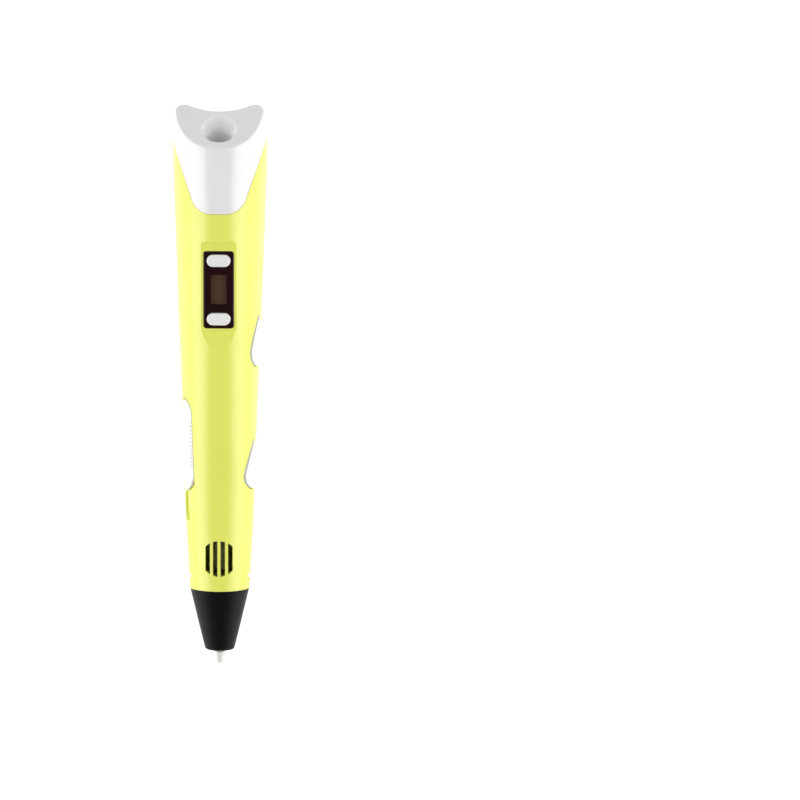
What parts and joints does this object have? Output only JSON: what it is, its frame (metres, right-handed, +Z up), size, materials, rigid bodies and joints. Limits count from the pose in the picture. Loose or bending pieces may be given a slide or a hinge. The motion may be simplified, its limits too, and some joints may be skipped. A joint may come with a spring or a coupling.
{
  "type": "3d printing pen",
  "caption": "Hand-held 3-D printing pen: tapered two-part shell, black nose cone, ceramic nozzle, display with two keys, side keys, speed slider and a filament funnel in the tail.",
  "frame": {"origin": "on the resting surface under the middle of the whole pen, as it lies on the flat of its back with its display up", "axes": "+Y from the nozzle to the tail, +X to the side of the two teardrop buttons, +Z up, the way the display faces"},
  "size_m": [0.031, 0.183, 0.0453],
  "materials": {
    "yellow_shell": "satin moulded ABS",
    "white_plastic": "gloss moulded ABS",
    "nose_black": "fine matt heat-proof plastic",
    "ceramic": "unglazed white ceramic",
    "window_black": "clear gloss tinted acrylic",
    "lcd_glass": "dark liquid crystal cell",
    "steel": "satin",
    "brass": "machined",
    "ptfe": "waxy translucent",
    "feed_plastic": "glass-filled nylon",
    "gear_plastic": "acetal",
    "board_green": "solder mask",
    "switch_black": "moulded",
    "heat_bush": "heat-proof polymer",
    "wire_red": "silicone insulation",
    "wire_black": "insulation"
  },
  "bodies": {
    "pen": {"upper_shell": "yellow_shell", "lower_shell": "yellow_shell", "end_cap": "white_plastic", "shell_screws": "steel", "nose_cone": "nose_black", "nozzle": "ceramic", "heater_core": "ceramic", "thermistor": "switch_black", "heat_break": "steel", "hot_end_mount": "heat_bush", "front_guide_tube": "ptfe", "rear_guide_tube": "ptfe", "feed_housing": "feed_plastic", "motor_gearbox": "feed_plastic", "motor_can": "steel", "motor_end_bell": "switch_black", "idler_pivot": "steel", "idler_spring": "steel", "main_board": "board_green", "board_screws": "steel", "lcd_cell": "lcd_glass", "lcd_backlight": "ptfe", "display_window": "window_black", "display_switches": "switch_black", "side_switches": "switch_black", "side_boards": "board_green", "speed_pot": "switch_black", "dc_jack": "switch_black", "dc_jack_pin": "steel", "heater_wires": "wire_red", "motor_wires": "wire_black", "power_wires": "wire_black"},
    "feed_drive": {"feed_wheel": "brass", "feed_shaft": "steel", "feed_gear": "gear_plastic"},
    "motor_output": {"drive_gear": "gear_plastic", "drive_shaft": "steel"},
    "idler": {"idler_arm": "gear_plastic", "idler_pin": "steel"},
    "roller": {"idler_roller": "steel"},
    "temperature_up": {"temperature_up_button": "white_plastic", "temperature_up_plunger": "switch_black"},
    "temperature_down": {"temperature_down_button": "white_plastic", "temperature_down_plunger": "switch_black"},
    "feed_key": {"feed_button": "white_plastic", "feed_plunger": "switch_black"},
    "unload_key": {"unload_button": "white_plastic", "unload_plunger": "switch_black"},
    "speed_control": {"speed_slider": "white_plastic"}
  },
  "joints": [
    {"name": "feed_wheel_spin", "type": "hinge", "parent": "pen", "child": "feed_drive", "pos_m": [-0.00002, -0.01556, 0.01291], "axis": [1, 0, 0], "continuous": true},
    {"name": "drive_gear_spin", "type": "hinge", "parent": "pen", "child": "motor_output", "pos_m": [-0.00002, -0.00684, 0.00855], "axis": [1, 0, 0], "continuous": true},
    {"name": "idler_lift", "type": "hinge", "parent": "pen", "child": "idler", "pos_m": [-0.00002, -0.00891, 0.02274], "axis": [-1, 0, 0], "range_deg": [0, 8], "stiffness_Nm_per_rad": 0.4, "springref_deg": -17.19, "deforming": ["idler_spring"]},
    {"name": "idler_roller_spin", "type": "hinge", "parent": "idler", "child": "roller", "pos_m": [-0.00002, -0.0167, 0.02067], "axis": [1, 0, 0], "continuous": true},
    {"name": "temperature_up_press", "type": "slide", "parent": "pen", "child": "temperature_up", "axis": [0, 0.1805, -0.9836], "range_m": [0, 0.0005], "stiffness_N_per_m": 1500, "springref_m": -0.0002},
    {"name": "temperature_down_press", "type": "slide", "parent": "pen", "child": "temperature_down", "axis": [0, 0.1805, -0.9836], "range_m": [0, 0.0005], "stiffness_N_per_m": 1500, "springref_m": -0.0002},
    {"name": "feed_button_press", "type": "slide", "parent": "pen", "child": "feed_key", "axis": [-1, 0, 0], "range_m": [0, 0.0008], "stiffness_N_per_m": 1200, "springref_m": -0.0002},
    {"name": "unload_button_press", "type": "slide", "parent": "pen", "child": "unload_key", "axis": [-1, 0, 0], "range_m": [0, 0.0008], "stiffness_N_per_m": 1200, "springref_m": -0.0002},
    {"name": "speed_slide", "type": "slide", "parent": "pen", "child": "speed_control", "axis": [0, -0.9895, -0.1444], "range_m": [0, 0.0095]}
  ],
  "couplings": [
    {"joint": "drive_gear_spin", "follows": "feed_wheel_spin", "ratio": -1.2857}
  ]
}
